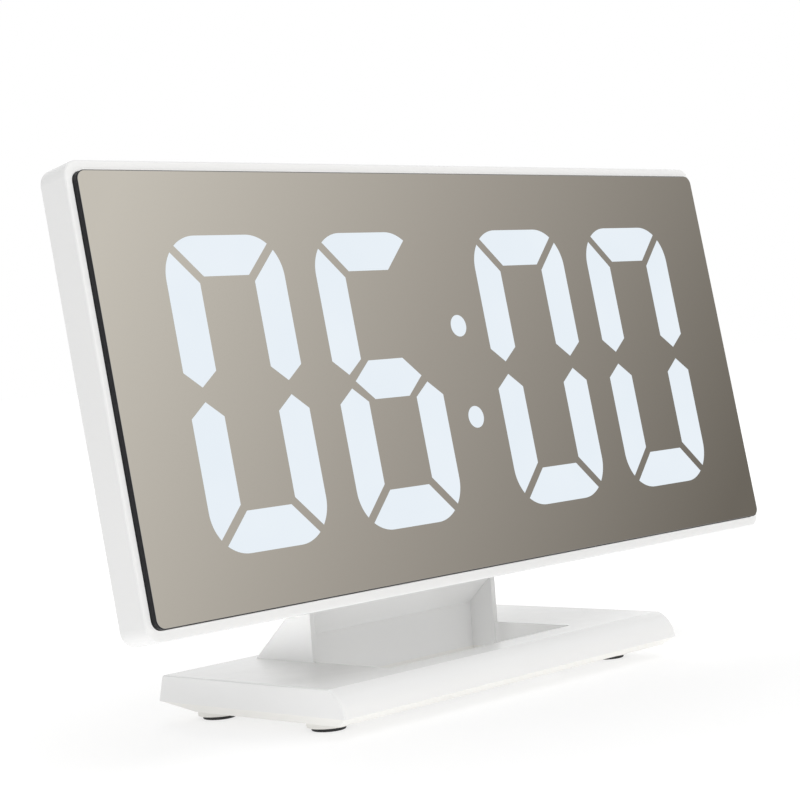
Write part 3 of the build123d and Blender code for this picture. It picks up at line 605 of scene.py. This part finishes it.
mirror_finish, mirror_tree, mirror_shader = blank_finish("half_silvered_mirror")
mirror_shader.inputs["Specular IOR Level"].default_value = 0.2
mirror_depth = (parts_of(mirror_tree, head_place(mirror_tree, mirror_middle)), "Y")
mirror_edge = sum_of(mirror_tree, "GREATER_THAN", mirror_depth, edge_depth)
mirror_colour = add_node(mirror_tree, "ShaderNodeMix", {6: silver_grey, 7: edge_black}, data_type="RGBA")
mirror_smears = put_effect(mirror_tree, handling_haze, Patches_per_metre=26.0, Clean=0.015, Touched=0.045)
mirror_gloss = add_node(mirror_tree, "ShaderNodeMix", {3: edge_gloss})
mirror_path = add_node(mirror_tree, "ShaderNodeLightPath")
mirror_dull = sum_of(mirror_tree, "MULTIPLY", (mirror_path, "Is Diffuse Ray"), dull_gloss)
# Painted light: to diffuse bounces the dark edge turns near white.
edge_bounce_share = sum_of(mirror_tree, "MULTIPLY", (mirror_path, "Is Diffuse Ray"), mirror_edge)
edge_bounce_tint = add_node(mirror_tree, "ShaderNodeMix", {7: painted_bounce_white}, data_type="RGBA")
mirror_metal = sum_of(mirror_tree, "SUBTRACT", 1.0, mirror_edge)
join(
    mirror_tree, (*mirror_edge, mirror_colour, 0), (*mirror_edge, mirror_gloss, 0),
    (mirror_smears, "Roughness", mirror_gloss, 2), (*edge_bounce_share, edge_bounce_tint, 0),
    (mirror_colour, 2, edge_bounce_tint, 6), (edge_bounce_tint, 2, mirror_shader, "Base Color"),
    (*mirror_metal, mirror_shader, "Metallic"),
    (*sum_of(mirror_tree, "MAXIMUM", (mirror_gloss, 0), mirror_dull), mirror_shader, "Roughness"),
)
dress("mirror_panel", mirror_finish)
print("finish:", mirror_finish.name)

# %% [markdown]
# ## Boards, cells and socket
# These pieces carry two finishes on one solid. The solids could be split, but they are told apart by place as
# on the mirror. The boards are glass fibre under a green mask, with paler tracks in it. A cell has a plain
# printed wrap with a band, and bare metal ends. The power socket is a steel shell round a black tongue.

# %% Green boards with tracks
board_patches = 60.0
track_sizes = {"Mortar Size": 0.22 * mm, "Brick Width": 6.4 * mm, "Row Height": 1.9 * mm}
track_green = (0.10, 0.33, 0.15, 1)

board_green, board_tree, board_shader = blank_finish("board_green")
board_parts = parts_of(board_tree, head_place(board_tree, mirror_middle))
board_flat = add_node(board_tree, "ShaderNodeCombineXYZ")
board_tracks = add_node(
    board_tree, "ShaderNodeTexBrick", {"Scale": 1.0, "Mortar Smooth": 0.1, **track_sizes}
)
board_mask = drifting(board_tree, (0.03, 0.17, 0.08), (0.04, 0.21, 0.10), board_patches)
board_colour = add_node(board_tree, "ShaderNodeMix", {7: track_green}, data_type="RGBA")
join(
    board_tree, (board_parts, "X", board_flat, "X"), (board_parts, "Z", board_flat, "Y"),
    (board_flat, 0, board_tracks, "Vector"), (board_tracks, 1, board_colour, 0),
    (board_mask, "Color", board_colour, 6), (board_colour, 2, board_shader, "Base Color"),
)
give_skin(
    board_tree, board_shader, clean=0.3, touched=0.4, grain=900.0, depth=0.00001, coarse=0.3,
    patches=board_patches,
)
for node in ("led_board", "main_board"):
    dress(node, board_green)
print("finish:", board_green.name)

# %% Wrapped cells with bare ends
band_share = 0.42
bare_end = 2.2 * mm
wrap_patches = 60.0

cell_low, cell_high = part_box("battery_cells")
cell_middle_x = (cell_low[0] + cell_high[0]) / 2
cell_half = (cell_high[0] - cell_low[0]) / 2
cell_finish, cell_tree, cell_shader = blank_finish("wrapped_cell")
cell_place = add_node(cell_tree, "ShaderNodeTexCoord")
cell_along = (parts_of(cell_tree, cell_place, "Object"), "X")
cell_from_middle = sum_of(cell_tree, "SUBTRACT", cell_along, cell_middle_x)
cell_reach = sum_of(cell_tree, "ABSOLUTE", cell_from_middle)
cell_band = sum_of(cell_tree, "LESS_THAN", cell_reach, cell_half * band_share)
cell_bare = sum_of(cell_tree, "GREATER_THAN", cell_reach, cell_half - bare_end)
cell_wrap = drifting(cell_tree, (0.55, 0.56, 0.57), (0.51, 0.52, 0.53), wrap_patches)
cell_ring = drifting(cell_tree, (0.07, 0.20, 0.38), (0.06, 0.17, 0.33), wrap_patches)
cell_metal = drifting(cell_tree, (0.66, 0.66, 0.66), (0.58, 0.58, 0.59), metal_patches)
cell_print = add_node(cell_tree, "ShaderNodeMix", data_type="RGBA")
cell_colour = add_node(cell_tree, "ShaderNodeMix", data_type="RGBA")
join(
    cell_tree, (*cell_band, cell_print, 0), (cell_wrap, "Color", cell_print, 6),
    (cell_ring, "Color", cell_print, 7), (*cell_bare, cell_colour, 0), (cell_print, 2, cell_colour, 6),
    (cell_metal, "Color", cell_colour, 7), (cell_colour, 2, cell_shader, "Base Color"),
    (*cell_bare, cell_shader, "Metallic"),
)
give_skin(
    cell_tree, cell_shader, clean=0.26, touched=0.38, grain=1200.0, depth=0.000005, patches=wrap_patches
)
dress("battery_cells", cell_finish)
print("finish:", cell_finish.name)

# %% Steel socket with a black tongue
tongue_half_depth, tongue_half_height = 0.37 * mm, 2.02 * mm

socket_low, socket_high = (Vector(corner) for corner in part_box("usb_socket"))
socket_finish, socket_tree, socket_shader = blank_finish("power_socket")
socket_from = add_node(socket_tree, "ShaderNodeVectorMath", operation="ABSOLUTE")
join(socket_tree, (head_place(socket_tree, (socket_low + socket_high) / 2), 0, socket_from, 0))
socket_parts = parts_of(socket_tree, socket_from)
tongue_deep = sum_of(socket_tree, "LESS_THAN", (socket_parts, "Y"), tongue_half_depth)
tongue_high = sum_of(socket_tree, "LESS_THAN", (socket_parts, "Z"), tongue_half_height)
tongue_mask = sum_of(socket_tree, "MULTIPLY", tongue_deep, tongue_high)
shell_metal = drifting(socket_tree, *steel_tones, metal_patches)
tongue_black = drifting(socket_tree, (0.02, 0.02, 0.022), (0.03, 0.03, 0.032), metal_patches)
socket_colour = add_node(socket_tree, "ShaderNodeMix", data_type="RGBA")
join(
    socket_tree, (*tongue_mask, socket_colour, 0), (shell_metal, "Color", socket_colour, 6),
    (tongue_black, "Color", socket_colour, 7), (socket_colour, 2, socket_shader, "Base Color"),
    (*sum_of(socket_tree, "SUBTRACT", 1.0, tongue_mask), socket_shader, "Metallic"),
)
give_skin(
    socket_tree, socket_shader, clean=0.24, touched=0.38, grain=3500.0, depth=0.00001, coarse=0.2,
    patches=metal_patches,
)
dress("usb_socket", socket_finish)
print("finish:", socket_finish.name)

# %% [markdown]
# ## The lit strokes
# Each digit has seven lenses behind the mirror, and the light of those that are on passes through the
# silvering and shows as a crisp, flat shape on the face. The shapes could be drawn again, but the lens solids
# already have them: a Geometry Nodes tree keeps the lit lenses and presses them into a thin skin of light on
# the mirror's face.


# %% Split a solid into its separate pieces
microns_per_metre = 1e6


def separate_pieces(node):
    """The vertex numbers of each separate piece of a solid, found by joining corners that share a place."""
    mesh = nodes[node].data
    place_of, parent = {}, list(range(len(mesh.vertices)))

    def root(index):
        while parent[index] != index:
            parent[index] = parent[parent[index]]
            index = parent[index]
        return index

    for vertex in mesh.vertices:
        key = tuple(round(v * microns_per_metre) for v in vertex.co)
        parent[vertex.index] = root(place_of.setdefault(key, vertex.index))
    for polygon in mesh.polygons:
        first = root(polygon.vertices[0])
        for index in polygon.vertices[1:]:
            parent[root(index)] = first
    found = {}
    for index in range(len(mesh.vertices)):
        found.setdefault(root(index), []).append(index)
    return list(found.values())


def spread(points):
    """The lowest and highest corner of a list of points."""
    low = Vector([min(point[axis] for point in points) for axis in range(3)])
    return low, Vector([max(point[axis] for point in points) for axis in range(3)])


print("strokes of a digit:", len(separate_pieces(digit_names[0])))

# %% The light that comes through
lit_light, lit_tree, lit_shader = blank_finish("lit_stroke")
lit_shader.inputs["Base Color"].default_value = (0.02, 0.02, 0.02, 1)
lit_shader.inputs["Roughness"].default_value = 0.5
lit_shader.inputs["Specular IOR Level"].default_value = 0.0
lit_shader.inputs["Emission Strength"].default_value = 1.0
lit_patches = 60.0
lit_drift = drifting(lit_tree, (0.80, 0.86, 0.915), (0.78, 0.845, 0.905), lit_patches)
join(lit_tree, (lit_drift, "Color", lit_shader, "Emission Color"))
print("finish:", lit_light.name)

# %% Helpers for Geometry Nodes trees
kind_of = {"geometry": "NodeSocketGeometry", "number": number, "vector": "NodeSocketVector",
           "whole": "NodeSocketInt", "finish": "NodeSocketMaterial"}


def new_tree(name, inputs):
    """An empty Geometry Nodes tree with a geometry in and out and named inputs, given as (name, kind)."""
    tree = bpy.data.node_groups.new(name, "GeometryNodeTree")
    tree.interface.new_socket("Geometry", in_out="INPUT", socket_type=kind_of["geometry"])
    for label, kind in inputs:
        tree.interface.new_socket(label, in_out="INPUT", socket_type=kind_of[kind])
    tree.interface.new_socket("Geometry", in_out="OUTPUT", socket_type=kind_of["geometry"])
    return tree, add_node(tree, "NodeGroupInput"), add_node(tree, "NodeGroupOutput")


def end_tree(tree, node, output, finish_from, finish_label, last):
    """Close a tree: make every copy real, give it its finish and put it out."""
    real = add_node(tree, "GeometryNodeRealizeInstances")
    paint = add_node(tree, "GeometryNodeSetMaterial")
    join(
        tree, (node, output, real, 0), (real, 0, paint, "Geometry"),
        (finish_from, finish_label, paint, "Material"), (paint, 0, last, "Geometry"),
    )


def grown(name, start_mesh, tree, values):
    """A plain mesh object made by a tree from a start mesh; values are named as the tree's inputs."""
    host = bpy.data.objects.new(name + "_start", start_mesh)
    scene.collection.objects.link(host)
    modifier = host.modifiers.new("tree", "NODES")
    modifier.node_group = tree
    for item in tree.interface.items_tree:
        if item.item_type == "SOCKET" and item.in_out == "INPUT" and item.name in values:
            modifier[item.identifier] = values[item.name]
    host.update_tag()
    depsgraph = bpy.context.evaluated_depsgraph_get()
    made = bpy.data.meshes.new_from_object(host.evaluated_get(depsgraph), depsgraph=depsgraph)
    made.name = name
    host.modifiers.remove(modifier)
    bpy.data.objects.remove(host)
    piece = bpy.data.objects.new(name, made)
    scene.collection.objects.link(piece)
    return piece


print("tree inputs:", ", ".join(kind_of))

# %% A tree that presses lit lenses into a skin of light
weld_distance = 0.001 * mm
light_skin, skin_in, skin_out = new_tree(
    "light_skin",
    [("Face point", "vector"), ("Depth direction", "vector"), ("Lens depth", "number"),
     ("Thickness", "number"), ("Lift", "number"), ("Light", "finish")],
)
lit_mark = add_node(light_skin, "GeometryNodeInputNamedAttribute", {"Name": "lit"}, data_type="BOOLEAN")
keep_lit = add_node(light_skin, "GeometryNodeSeparateGeometry")
weld = add_node(light_skin, "GeometryNodeMergeByDistance", {"Distance": weld_distance})
here = add_node(light_skin, "GeometryNodeInputPosition")
from_face = add_node(light_skin, "ShaderNodeVectorMath", operation="SUBTRACT")
depth_here = add_node(light_skin, "ShaderNodeVectorMath", operation="DOT_PRODUCT")
shift = add_node(light_skin, "ShaderNodeVectorMath", operation="SCALE")
press = add_node(light_skin, "GeometryNodeSetPosition")
join(
    light_skin, (skin_in, "Geometry", keep_lit, "Geometry"), (lit_mark, "Attribute", keep_lit, "Selection"),
    (keep_lit, "Selection", weld, "Geometry"), (weld, "Geometry", press, "Geometry"),
    (here, 0, from_face, 0), (skin_in, "Face point", from_face, 1), (from_face, 0, depth_here, 0),
    (skin_in, "Depth direction", depth_here, 1),
)
lens_rear = sum_of(light_skin, "GREATER_THAN", (depth_here, "Value"), (skin_in, "Lens depth"))
skin_depth = sum_of(light_skin, "MULTIPLY", lens_rear, (skin_in, "Thickness"))
lifted = sum_of(light_skin, "SUBTRACT", skin_depth, (skin_in, "Lift"))
shift_length = sum_of(light_skin, "SUBTRACT", lifted, (depth_here, "Value"))
join(
    light_skin, (skin_in, "Depth direction", shift, 0), (*shift_length, shift, "Scale"),
    (shift, 0, press, "Offset"),
)
end_tree(light_skin, press, "Geometry", skin_in, "Light", skin_out)
print("tree:", light_skin.name, "with", len(light_skin.nodes), "nodes")

# %% Tell the strokes of a digit apart
flat_reach, middle_reach = 4 * mm, 5 * mm


def stroke_name(middle, digit_middle):
    """Which stroke a lens is, from where its middle lies in the digit."""
    side, rise = middle.x - digit_middle.x, middle.z - digit_middle.z
    if abs(side) < flat_reach:
        return "middle" if abs(rise) < middle_reach else ("top" if rise > 0 else "bottom")
    return ("upper " if rise > 0 else "lower ") + ("right" if side > 0 else "left")


dark_strokes = dict(zip(digit_names, ("middle", "upper right", "middle", "middle")))
dark_strokes["colon_lenses"] = "none"
print("strokes that stay dark:", list(dark_strokes.values()))

# %% Light the strokes of 06:00
skin_thickness, skin_lift = 0.3 * mm, 0.02 * mm
to_head = head_frame.inverted()
for source, dark in dark_strokes.items():
    start = nodes[source].data.copy()
    lenses = separate_pieces(source)
    corners = [spread([to_head @ start.vertices[index].co for index in lens]) for lens in lenses]
    middles = [(low + top) / 2 for low, top in corners]
    low, top = spread(middles)
    lit = start.attributes.new("lit", "BOOLEAN", "POINT")
    for lens, middle in zip(lenses, middles):
        on = stroke_name(middle, (low + top) / 2) != dark
        for index in lens:
            lit.data[index].value = on
    light = grown(
        "lit_" + source.replace("_segments", "").replace("_lenses", ""), start, light_skin,
        {"Face point": mirror_middle, "Depth direction": deep, "Lens depth": (low.y + top.y) / 2,
         "Thickness": skin_thickness, "Lift": skin_lift, "Light": lit_light},
    )
    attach(light, "head")
    print(light.name, "from", len(lenses), "lenses,", len(light.data.polygons), "faces")

# %% [markdown]
# ## Cross-head screws
# Eight countersunk screws hold the rear cover and four hold the base plate. Each was driven until it was
# tight, so no two crosses point the same way. They could be modelled one by one, but they differ only in
# place, turn and length: a Geometry Nodes tree cuts one screw from a cone, a rod and two bars, sets a copy on
# every place, along its own axis, and turns each by a seeded random angle.

# %% A tree that cuts one screw
screw_set, screw_in, screw_out = new_tree(
    "cross_screw_set",
    [("Head radius", "number"), ("Head height", "number"), ("Shank radius", "number"), ("Length", "number"),
     ("Cross length", "number"), ("Cross width", "number"), ("Cross depth", "number"), ("Seed", "whole"),
     ("Steel", "finish")],
)


def moved_up(tree, node, rise):
    """A mesh moved along its axis."""
    offset = add_node(tree, "ShaderNodeCombineXYZ")
    move = add_node(tree, "GeometryNodeTransform")
    join(tree, (*rise, offset, "Z"), (node, "Mesh", move, "Geometry"), (offset, 0, move, "Translation"))
    return move


head_cone = add_node(screw_set, "GeometryNodeMeshCone", {"Vertices": 32})
shank_rod = add_node(screw_set, "GeometryNodeMeshCylinder", {"Vertices": 16})
half_head = sum_of(screw_set, "MULTIPLY", (screw_in, "Head height"), 0.5)
shank_length = sum_of(screw_set, "SUBTRACT", (screw_in, "Length"), half_head)
shank_top = sum_of(screw_set, "MULTIPLY", half_head, -1.0)
shank_middle = sum_of(screw_set, "MULTIPLY_ADD", shank_length, -0.5, shank_top)
join(
    screw_set, (screw_in, "Shank radius", head_cone, "Radius Bottom"),
    (screw_in, "Head radius", head_cone, "Radius Top"), (screw_in, "Head height", head_cone, "Depth"),
    (screw_in, "Shank radius", shank_rod, "Radius"), (*shank_length, shank_rod, "Depth"),
)
head_down = moved_up(screw_set, head_cone, sum_of(screw_set, "MULTIPLY", (screw_in, "Head height"), -1.0))
shank_down = moved_up(screw_set, shank_rod, shank_middle)
body = add_node(screw_set, "GeometryNodeMeshBoolean", operation="UNION", solver="EXACT")
join(screw_set, (head_down, 0, body, "Mesh 2"), (shank_down, 0, body, "Mesh 2"))
cut = add_node(screw_set, "GeometryNodeMeshBoolean", operation="DIFFERENCE", solver="EXACT")
join(screw_set, (body, "Mesh", cut, "Mesh 1"))
bar_height = sum_of(screw_set, "MULTIPLY", (screw_in, "Cross depth"), 2.0)
for along, aside in (("X", "Y"), ("Y", "X")):
    bar_size = add_node(screw_set, "ShaderNodeCombineXYZ")
    bar = add_node(screw_set, "GeometryNodeMeshCube")
    join(
        screw_set, (screw_in, "Cross length", bar_size, along), (screw_in, "Cross width", bar_size, aside),
        (*bar_height, bar_size, "Z"), (bar_size, 0, bar, "Size"), (bar, "Mesh", cut, "Mesh 2"),
    )
print("one screw:", len(screw_set.nodes), "nodes")

# %% Copies on every place, each with its own turn
axis_mark = add_node(
    screw_set, "GeometryNodeInputNamedAttribute", {"Name": "axis"}, data_type="FLOAT_VECTOR"
)
align = add_node(screw_set, "FunctionNodeAlignRotationToVector", axis="Z")
any_turn = add_node(screw_set, "FunctionNodeRandomValue", {2: 0.0, 3: math.tau}, data_type="FLOAT")
spin = add_node(screw_set, "FunctionNodeAxisAngleToRotation", {"Axis": (0, 0, 1)})
turned = add_node(screw_set, "FunctionNodeRotateRotation", rotation_space="LOCAL")
copies = add_node(screw_set, "GeometryNodeInstanceOnPoints")
join(
    screw_set, (axis_mark, "Attribute", align, "Vector"), (screw_in, "Seed", any_turn, "Seed"),
    (any_turn, 1, spin, "Angle"), (align, 0, turned, "Rotation"), (spin, 0, turned, "Rotate By"),
    (screw_in, "Geometry", copies, "Points"), (cut, "Mesh", copies, "Instance"),
    (turned, 0, copies, "Rotation"),
)
end_tree(screw_set, copies, "Instances", screw_in, "Steel", screw_out)
print("tree:", screw_set.name, "with", len(screw_set.nodes), "nodes")

# %% Set the screws where the solids have them
rim_depth = 0.01 * mm
screw_sizes = {
    "Head radius": 1.7 * mm, "Head height": 0.9 * mm, "Shank radius": 0.8 * mm,
    "Cross length": 1.9 * mm, "Cross width": 0.45 * mm, "Cross depth": 0.4 * mm,
}
# Each row: name, the solids it stands for, body, the way the heads face, length in mm, seed.
screw_rows = [
    ("cover_screws", "case_screws", "head", deep, 5.2, 4),
    ("plate_screws", "base_screws", "stand", Vector((0, 0, -1)), 4.6, 9),
]
for name, source, body_name, outward, length, seed in screw_rows:
    places = []
    for piece in separate_pieces(source):
        points = [nodes[source].data.vertices[index].co for index in piece]
        face = max(point.dot(outward) for point in points)
        rim = [point for point in points if face - point.dot(outward) < rim_depth]
        low, top = spread(rim)
        places.append((low + top) / 2)
    start = bpy.data.meshes.new(name + "_places")
    start.from_pydata(places, [], [])
    axis = start.attributes.new("axis", "FLOAT_VECTOR", "POINT")
    axis.data.foreach_set("vector", list(outward) * len(places))
    screws = grown(
        name, start, screw_set,
        {**screw_sizes, "Length": length * mm, "Seed": seed, "Steel": bright_steel},
    )
    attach(screws, body_name)
    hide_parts(source)
    print(name, len(places), "screws,", len(screws.data.polygons), "faces")

# %% [markdown]
# ## Marks on the buttons and the door
# The buttons carry plain signs instead of words: a crescent for the pause of the alarm, a ring for setting,
# and arrowheads for up and down. The battery door has an arrowhead that says which way it slides. They could
# be painted, but a real mark stands a little proud, so each is an outline that is filled and given a small
# rise.


# %% A helper for a raised mark
def raised_mark(name, loops, middle, rise, body_name, finish, slot):
    """A thin solid on a rear face, from outlines seen from behind, in mm about a point of the head."""
    shape = bmesh.new()
    for loop in loops:
        corners = [shape.verts.new((x * mm, y * mm, 0)) for x, y in loop]
        for start, end in zip(corners, corners[1:] + corners[:1]):
            shape.edges.new((start, end))
    bmesh.ops.triangle_fill(shape, use_beauty=True, edges=shape.edges[:])
    raised = bmesh.ops.extrude_face_region(shape, geom=shape.faces[:], use_keep_orig=True)
    lifted = [part for part in raised["geom"] if isinstance(part, bmesh.types.BMVert)]
    bmesh.ops.translate(shape, verts=lifted, vec=(0, 0, rise * mm))
    bmesh.ops.recalc_face_normals(shape, faces=shape.faces[:])
    rear_axes = Matrix((-across, high, deep)).transposed().to_4x4()
    shape.transform(Matrix.Translation(head_frame @ (Vector(middle) * mm)) @ rear_axes)
    mesh = bpy.data.meshes.new(name)
    shape.to_mesh(mesh)
    shape.free()
    mesh.materials.append(finish)
    mark = bpy.data.objects.new(name, mesh)
    scene.collection.objects.link(mark)
    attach(mark, body_name)
    return mark


def arc(radius, start, end, steps, x=0.0, y=0.0):
    """Points on an arc, angles in degrees."""
    angles = [math.radians(start + (end - start) * step / steps) for step in range(steps + 1)]
    return [(x + radius * math.cos(angle), y + radius * math.sin(angle)) for angle in angles]


print("mark helpers:", raised_mark.__name__, arc.__name__)

# %% A sign on each button
sign_sink, sign_rise = 0.02, 0.12
moon_radius, moon_cut = 1.75, 0.95
ring_outer, ring_inner = 1.7, 1.1
ring_end, ring_steps = 345, 23

tip = math.degrees(math.acos(moon_cut / 2 / moon_radius))
moon_back = arc(moon_radius, tip, 360 - tip, 28)
moon_hollow = arc(moon_radius, 180 + tip, 180 - tip, 22, moon_cut)
crescent = moon_back + moon_hollow[1:-1]
ring = [arc(radius, 0, ring_end, ring_steps) for radius in (ring_outer, ring_inner)]
arrow_up = [(-1.8, -1.1), (1.8, -1.1), (0, 1.7)]
arrow_down = [(x, -y) for x, y in reversed(arrow_up)]
sign_of = dict(zip(button_names, ([crescent], ring, [arrow_up], [arrow_down])))
for button, loops in sign_of.items():
    corners = [to_head @ vertex.co for vertex in nodes[button].data.vertices]
    low, top = spread(corners)
    middle = ((low.x + top.x) / 2 / mm, top.y / mm - sign_sink, (low.z + top.z) / 2 / mm)
    sign_name = button.replace("button", "sign")
    mark = raised_mark(sign_name, loops, middle, sign_rise, button, mark_dark, "button_plastic")
    print(mark.name, "at", [round(v, 2) for v in middle], "faces", len(mark.data.polygons))

# %% An arrowhead on the door
arrow_depth, arrow_height, arrow_rise = 24.08, 12.0, 0.52
door_outline = [(-3.6, -1.6), (3.6, -1.6), (0, 3.0)]

door_foot = min((to_head @ vertex.co).z for vertex in nodes["battery_door"].data.vertices)
door_middle = (0, arrow_depth, door_foot / mm + arrow_height)
door_arrow = raised_mark(
    "door_arrow", [door_outline], door_middle, arrow_rise, "battery_door", button_grey, "button_plastic"
)
print(door_arrow.name, "faces", len(door_arrow.data.polygons))

# %% Compare the boxes and finish
dressed_box = [list(corner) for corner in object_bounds()]
growth = max(abs(a - b) for old, new in zip(solid_box, dressed_box) for a, b in zip(old, new))
print("the dressed box differs by", round(growth / mm, 3), "mm")
